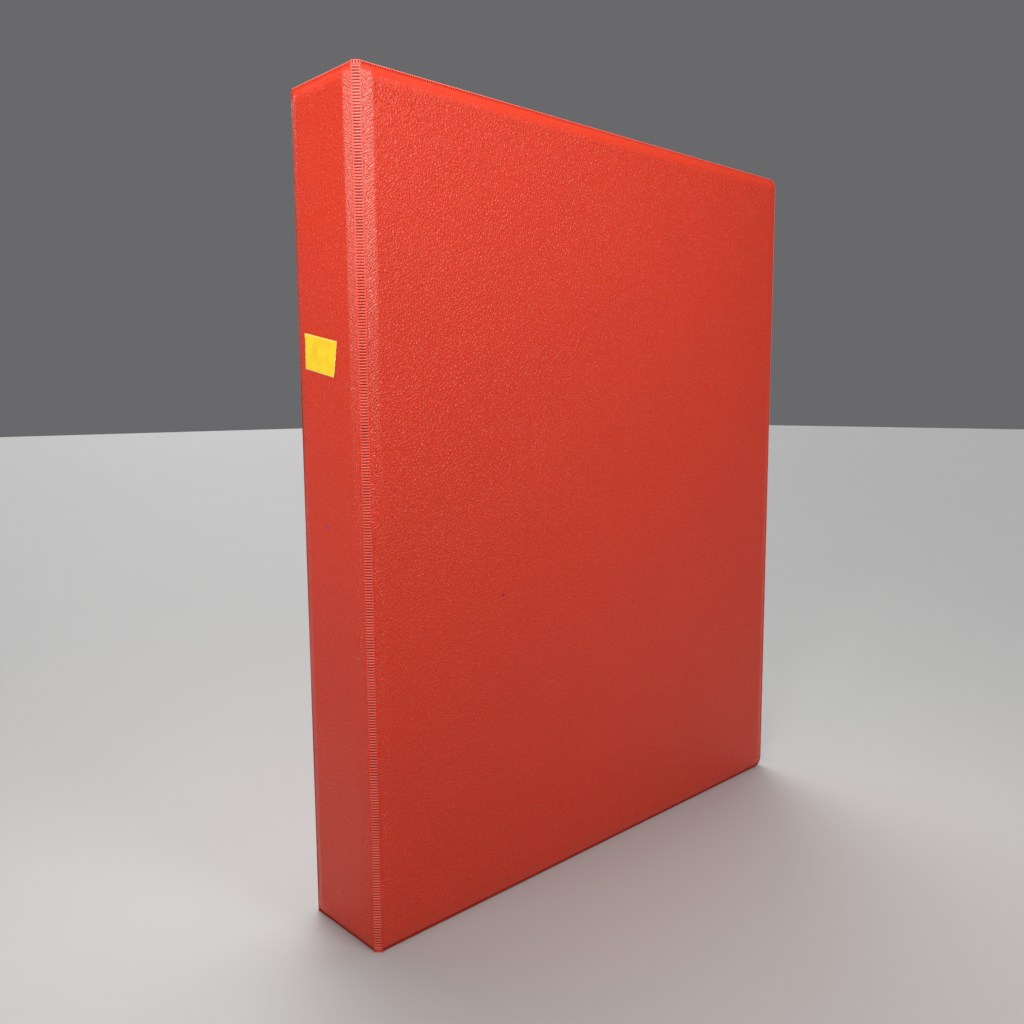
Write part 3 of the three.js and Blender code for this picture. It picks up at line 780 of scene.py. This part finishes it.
def combined(piece, others, operation):
    """The piece with the other bodies added or cut away, and its sharp edges marked."""
    for other in others:
        step = piece.modifiers.new(operation, "BOOLEAN")
        step.operation = operation
        step.solver = "EXACT"
        step.object = other
    bpy.context.view_layer.update()
    graph = bpy.context.evaluated_depsgraph_get()
    mesh = bpy.data.meshes.new_from_object(piece.evaluated_get(graph))
    piece.modifiers.clear()
    piece.data = mesh
    for other in others:
        bpy.data.objects.remove(other)
    mesh.set_sharp_from_angle(angle=math.radians(35))
    return piece


def steel(piece, node, body):
    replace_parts(piece, node)
    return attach(piece, body)


def turned(name, profile, place, sides=40):
    """A lathe-turned body from (radius, distance along the axis) points."""
    angle = np.linspace(0, math.tau, sides, endpoint=False)
    profile = np.array(profile) * MM
    radius, along = profile[:, :1], profile[:, 1:]
    first, second = radius * np.cos(angle), radius * np.sin(angle)
    return tube(name, place(first, second, along + 0 * first), NICKEL)


def wire_tube(name, points, z, sides=20):
    """A round wire along points of (x, height), all at one height z, with eased ends."""
    tangent = np.gradient(points, axis=0)
    tangent /= np.linalg.norm(tangent, axis=1, keepdims=True)
    normal = np.stack([-tangent[:, 1], tangent[:, 0]], -1)
    angle = np.linspace(0, math.tau, sides, endpoint=False)
    radius = np.full(len(points), WIRE)
    radius[0] = radius[-1] = 0.8 * WIRE
    ring = points[:, None, :] + normal[:, None, :] * (radius[:, None] * np.cos(angle))[..., None]
    high = z + radius[:, None] * np.sin(angle)
    return tube(name, above_liner(ring[..., 0], ring[..., 1], high), NICKEL)


def ring_half(side, number, z):
    """A straight leg out of the housing, then an arc about the ring centre."""
    gap = 0.15 * MM / RING_RADIUS
    end = SPLIT - gap if side > 0 else math.pi - SPLIT - gap
    leg = np.linspace(FOOT, RING_CENTRE, 12)[:-1]
    turn = np.linspace(0, end, 44 if side < 0 else 26)
    x = np.concatenate([np.full(len(leg), RING_RADIUS), RING_RADIUS * np.cos(turn)]) * side
    high = np.concatenate([leg, RING_CENTRE + RING_RADIUS * np.sin(turn)])
    points = np.stack([x, high], -1)
    tip = points[-1] - points[-2]
    tip *= 0.12 * MM / np.linalg.norm(tip)
    points = np.concatenate([points[:1], points, points[-1:]])
    points[1, 1] += 0.2 * MM
    points[-2] -= tip
    word = "arc" if side < 0 else "post"
    half = wire_tube(f"ring_{word}_wire_{number}", points, z)
    steel(half, f"ring_{word}_{number}", "spine_side_rings" if side < 0 else "fore_side_rings")


def stadium(x0, x1, z, radius, steps=12):
    """A slot with round ends as (x, z) points, anticlockwise."""
    turn = np.linspace(-math.pi / 2, math.pi / 2, steps)
    right = np.stack([x1 - radius + radius * np.cos(turn), z + radius * np.sin(turn)], -1)
    left = np.stack([x0 + radius - radius * np.cos(turn), z - radius * np.sin(turn)], -1)
    return np.concatenate([right, left])


def rounded_box(x0, x1, z0, z1, radius, steps=6):
    """A rectangle with round corners as (x, z) points."""
    corners = [(x1, z0, -90), (x1, z1, 0), (x0, z1, 90), (x0, z0, 180)]
    points = []
    for x, z, start in corners:
        cx = x - math.copysign(radius, x - (x0 + x1) / 2)
        cz = z - math.copysign(radius, z - (z0 + z1) / 2)
        for turn in np.radians(np.linspace(start, start + 90, steps)):
            points.append((cx + radius * math.cos(turn), cz + radius * math.sin(turn)))
    return np.array(points)


def cutter(loop, low, high):
    """A prism to cut with, its outline in (x, z) and its ends at two heights."""
    rows = [above_liner(loop[:, 0], height, loop[:, 1]) for height in (low, high)]
    return tube("cutter", rows, NICKEL)


def housing_half_outline():
    """Right half of the housing's outer and inner surfaces, from the crown to the lip."""
    rise = CROWN - HOUSING_WALL
    radius = (HOUSING_HALF**2 + rise**2) / (2 * rise)
    wall, lip = HOUSING_HALF, HOUSING_HALF - 1.8 * MM
    sides = []
    for drop, reach in ((0.0, 0.6 * MM), (HOUSING_SHEET, 1.3 * MM)):
        x = np.linspace(0, wall - reach - 0.2 * MM, 44)
        groove = 0.28 * MM * np.exp(-(((x - 10.4 * MM) / (0.7 * MM)) ** 2))
        height = CROWN - drop - radius + np.sqrt(radius**2 - x**2) - groove
        face = wall - (HOUSING_SHEET if drop else 0)
        foot = 0.3 * MM + drop
        eave = height[-1]
        tail = [
            (face - 0.22 * MM, eave - 0.14 * MM),
            (face, eave - 0.55 * MM),
            (face, foot + 0.5 * MM),
            (face - 0.18 * MM, foot + 0.15 * MM),
            (face - 0.5 * MM, foot),
            (lip, foot),
        ]
        sides.append(np.concatenate([np.stack([x, height], -1), tail]))
    return sides


def housing():
    """The arched cover of the mechanism, with holes for rings and rivets and lever mouths."""
    outer, inner = housing_half_outline()
    mirror = np.array([-1, 1])
    loop = np.concatenate([outer[:0:-1] * mirror, outer, inner[::-1], inner[1:] * mirror])
    rows = [above_liner(loop[:, 0], loop[:, 1], z) for z in (HOUSING_LOW.z, HOUSING_HIGH.z)]
    cover = tube("arched_housing", rows, NICKEL)
    top = CROWN + 1 * MM
    cuts = []
    for z in RING_Z:
        for x in (-RING_RADIUS, RING_RADIUS):
            hole = stadium(x - 2.5 * MM, x + 2.5 * MM, z, 2.1 * MM)
            cuts.append(cutter(hole, 2.7 * MM, top))
    for z in RIVET_Z:
        cuts.append(cutter(stadium(-2.41 * MM, 2.41 * MM, z, 2.4 * MM), 4 * MM, top))
    for z, way in zip(PIN_Z, (-1, 1)):
        ends = sorted((z + way * 6 * MM, z - way * 3 * MM))
        cuts.append(cutter(rounded_box(-8 * MM, 8 * MM, *ends, 1.5 * MM), 1.2 * MM, top))
        bore = turned("cutter", [(0.9, -18), (0.9, 18)], across_pin(z), 16)
        cuts.append(bore)
    steel(combined(cover, cuts, "DIFFERENCE"), "ring_housing", "back_cover")


def across_pin(z):
    return lambda first, second, along: above_liner(along, PIN_HEIGHT + first, z + second)


def rivet(number, z):
    """A tubular rivet: domed head outside the cover and a rolled collar on the housing."""
    panel, crown = PANEL / MM + 0.05, CROWN / MM + 0.05
    dome = [(4.5 * math.sin(a), -panel - 1.15 * math.cos(a)) for a in np.linspace(0.01, 1.57, 12)]
    collar = [(2.55 + 1.05 * math.cos(a), crown + 0.8 * math.sin(a)) for a in np.linspace(0, 2.7, 12)]
    well = [(1.35, crown - 0.1), (1.2, crown - 1.5), (0.02, crown - 1.6)]
    profile = [*dome, (2.0, -panel), (2.0, crown), *collar, *well]
    place = lambda first, second, along: above_liner(first, along, z + second)
    steel(turned(f"tubular_rivet_{number}", profile, place), f"rivet_{number}", "back_cover")


def pin(end, z):
    """A short axle with peened ends."""
    half = HOUSING_HALF / MM
    side = [(0.02, half), (0.4, half), (0.66, half - 0.12), (0.7, half - 0.4), (0.7, half - 3)]
    profile = [(r, -x) for r, x in side] + side[::-1]
    axle = turned("axle_" + end, profile, across_pin(z), 24)
    steel(axle, "lever_pin_" + end, "back_cover")


def lever(end, z, way):
    """A rolled barrel on the pin, a tongue under the blades and a curled finger tab."""
    def place(x, height, out):
        return above_liner(x, PIN_HEIGHT + height, z + way * out)

    turn = np.linspace(0, math.tau, 37)[:-1, None]
    section = np.array([
        (0.95, -4.4), (1.05, -4.5), (1.38, -4.5), (1.5, -4.38),
        (1.5, 4.38), (1.38, 4.5), (1.05, 4.5), (0.95, 4.4),
    ]) * MM
    ring = place(section[:, 1] + 0 * turn, section[:, 0] * np.sin(turn), section[:, 0] * np.cos(turn))
    faces = grid_faces(37, 8, wrap=True)
    faces = [[i % ring[..., 0].size for i in face] for face in faces]
    barrel = face_outwards(add_mesh(f"finger_lever_{end}", ring, faces, NICKEL))
    along = np.linspace(0, 1, 26)
    bend = TAB_ANGLE - 0.5 * smoothstep(0.35, 1.0, along)
    step = TAB_LENGTH * np.diff(along, prepend=0)
    high = -0.95 * MM * -math.cos(TAB_ANGLE) + np.cumsum(step * np.sin(bend))
    out = -0.95 * MM * math.sin(TAB_ANGLE) + np.cumsum(step * np.cos(bend))
    flare = BARREL_HALF + (TAB_HALF - BARREL_HALF) * smoothstep(0, 0.4, along)
    tip = np.clip((along - 0.66) / 0.34, 0, 1)
    half = flare - 3.2 * MM * (1 - np.sqrt(1 - 0.98 * tip**2))
    rows = []
    for h, o, w, a, s in zip(high, out, half, bend, along):
        edge = rounded_box(-w, w, -0.5 * MM, 0.5 * MM, 0.42 * MM, 5)
        dish = 0.5 * MM * s * (edge[:, 0] / TAB_HALF) ** 2
        lift = edge[:, 1] + dish
        rows.append(place(edge[:, 0], h + lift * math.cos(a), o - lift * math.sin(a)))
    tab = tube("tab", rows, NICKEL)
    flat = rounded_box(-3 * MM, 3 * MM, -1.5 * MM, -0.85 * MM, 0.2 * MM, 4)
    tongue = tube("tongue", [place(flat[:, 0], flat[:, 1], o) for o in (-3 * MM, 0.0)], NICKEL)
    bore = turned("cutter", [(0.95, -9), (0.95, 9)], across_pin(z), 36)
    solid = combined(barrel, [tab, tongue], "UNION")
    solid = combined(solid, [bore], "DIFFERENCE")
    steel(solid, "lever_" + end, end + "_lever")


for number, ring_z in enumerate(RING_Z, 1):
    ring_half(-1, number, ring_z)
    ring_half(1, number, ring_z)
housing()
for number, rivet_z in enumerate(RIVET_Z, 1):
    rivet(number, rivet_z)
for end, pin_z, way in zip(("bottom", "top"), PIN_Z, (-1, 1)):
    pin(end, pin_z)
    lever(end, pin_z, way)
for name in ("blade_spine_side", "blade_fore_side"):
    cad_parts[name].data.materials[0] = BLADE_STEEL


# ---------------------------------------------------------------- stock leaves


CARD_HALF = 0.18 * MM
STRIPS = 7
STRIP_HEIGHT = 33 * MM
STRIP_PITCH = 40 * MM
STRIP_FIRST = 9 * MM


def card(number, low, high):
    """One sheet of album card with round corners and four slots for the rings."""
    middle = (low.y + high.y) / 2
    loops = [rounded_box(low.x, high.x, low.z, high.z, 3 * MM)]
    for z in RING_Z:
        loops.append(stadium(RING_X + 7.3 * MM, RING_X + 17.9 * MM, z - 1.5 * MM, 3.25 * MM))
    work = bmesh.new()
    for loop in loops:
        ring = [work.verts.new((x, middle - CARD_HALF, z)) for x, z in loop]
        for a, b in zip(ring, ring[1:] + ring[:1]):
            work.edges.new((a, b))
    bmesh.ops.triangle_fill(work, use_beauty=True, use_dissolve=False, edges=work.edges[:])
    grown = bmesh.ops.extrude_face_region(work, geom=work.faces[:])
    raised = [v for v in grown["geom"] if isinstance(v, bmesh.types.BMVert)]
    bmesh.ops.translate(work, verts=raised, vec=(0, 2 * CARD_HALF, 0))
    bmesh.ops.recalc_face_normals(work, faces=work.faces)
    sheet = add_mesh(f"leaf_card_{number}", np.zeros((0, 3)), [], CARD)
    work.to_mesh(sheet.data)
    work.free()
    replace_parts(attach(sheet, f"leaf_{number}_body"), f"leaf_{number}")


def strips(number, low, high):
    """Clear strips on both faces, fixed at the bottom, each with its lip a little open."""
    middle = (low.y + high.y) / 2
    dice = np.random.default_rng(100 + number)
    x = np.linspace(low.x + 21 * MM, high.x - 4 * MM, 25)[:, None]
    bodies = []
    for way in (-1, 1):
        for z in low.z + STRIP_FIRST + STRIP_PITCH * np.arange(STRIPS):
            lip = 0.02 * MM * np.sin(x * dice.uniform(40, 90) + dice.uniform(0, math.tau))
            up = np.array([0, 0.6, 2, 20, 32, 33, 33, 32, 20, 0]) * STRIP_HEIGHT / 33
            out = np.array([0.02, 0.05, 0.055, 0.06, 0.075, 0.08, 0.055, 0.04, -0.01, -0.01]) * MM
            loose = smoothstep(0, STRIP_HEIGHT, up) * lip
            y = middle + way * (CARD_HALF + out + loose)
            bodies.append(np.stack(np.broadcast_arrays(x, y, z + up), -1))
    films = tubes(f"leaf_strips_{number}", bodies, FILM)
    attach(films, f"leaf_{number}_body")


for number in range(1, 9):
    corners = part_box(f"leaf_{number}")
    card(number, *corners)
    strips(number, *corners)


# -------------------------------------------------------------- floor and light


def backdrop_material():
    nodes = Nodes("pale_floor", (0.45, 0.45, 0.445), 0.6)
    tone = nodes.mix(nodes.noise(6.0, 3.0), (0.44, 0.44, 0.435), (0.46, 0.46, 0.455))
    nodes.set(nodes.shader, "Base Color", tone)
    nodes.bump(nodes.noise(500.0, 3.0), 0.1 * MM, 0.3)
    return nodes.material


def floor():
    mesh = bpy.data.meshes.new("floor")
    size = 6.0
    corners = [(-size, -size, 0), (size, -size, 0), (size, size, 0), (-size, size, 0)]
    mesh.from_pydata(corners, [], [(0, 1, 2, 3)])
    mesh.materials.append(backdrop_material())
    piece = bpy.data.objects.new("floor", mesh)
    bpy.context.scene.collection.objects.link(piece)
    piece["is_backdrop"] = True


def area_light(name, spot, target, size, power, colour, spread=180):
    data = bpy.data.lights.new(name, "AREA")
    data.shape = "RECTANGLE"
    data.size, data.size_y = size
    data.energy = power
    data.color = colour
    data.spread = math.radians(spread)
    lamp = bpy.data.objects.new(name, data)
    lamp.location = spot
    lamp.rotation_euler = (Vector(target) - Vector(spot)).to_track_quat("-Z", "Y").to_euler()
    bpy.context.scene.collection.objects.link(lamp)


def distant_light(name, direction, strength, angle):
    """Even light from one side of the sky, softened by its angle."""
    data = bpy.data.lights.new(name, "SUN")
    data.energy = strength
    data.angle = math.radians(angle)
    lamp = bpy.data.objects.new(name, data)
    lamp.rotation_euler = Vector(direction).to_track_quat("Z", "Y").to_euler()
    bpy.context.scene.collection.objects.link(lamp)


def studio():
    world = bpy.data.worlds.new("studio")
    world.use_nodes = True
    world.node_tree.nodes["Background"].inputs["Color"].default_value = (0.14, 0.141, 0.146, 1)
    world.node_tree.nodes["Background"].inputs["Strength"].default_value = 1.0
    bpy.context.scene.world = world
    warm = (1.0, 0.98, 0.95)
    area_light("front", (0.0, -0.52, 0.50), (-0.04, 0, 0.34), (0.2, 0.15), 0.66, warm, 110)
    area_light("left", (-0.50, -0.02, 0.335), (-0.13, 0, 0.30), (0.2, 0.12), 0.25, warm, 110)
    area_light("corner", (-0.46, -0.27, 0.52), (-0.12, 0, 0.3), (0.12, 0.12), 0.62, warm, 110)
    distant_light("overhead", (0.3, 0.3, 1), 1.9, 50)
    distant_light("behind", (0.5, 1, 0.8), 1.0, 45)
    distant_light("fill", (-0.45, -1, 0.25), 0.16, 40)


def camera():
    corner = Vector((SPINE_X, FRONT_Y, 0))
    data = bpy.data.cameras.new("camera")
    data.sensor_width = 36
    data.lens = 32.567
    data.clip_start = 0.01
    view = bpy.data.objects.new("camera", data)
    right = Vector((0.72853, -0.68498, -0.00691)).normalized()
    forward = Vector((0.67947, 0.72387, -0.1197))
    forward = (forward - right * forward.dot(right)).normalized()
    up = right.cross(forward)
    turn = Matrix((right, up, -forward)).transposed()
    spot = corner + Vector((-181.03, -267.03, 202.88)) * MM
    view.matrix_world = Matrix.Translation(spot) @ turn.to_4x4()
    bpy.context.scene.collection.objects.link(view)
    bpy.context.scene.camera = view


floor()
studio()
camera()
bpy.context.scene.view_settings.view_transform = "Standard"

boxes = {"cad": cad_box, "visual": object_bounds()}
{k: [list(corner) for corner in v] for k, v in boxes.items()}
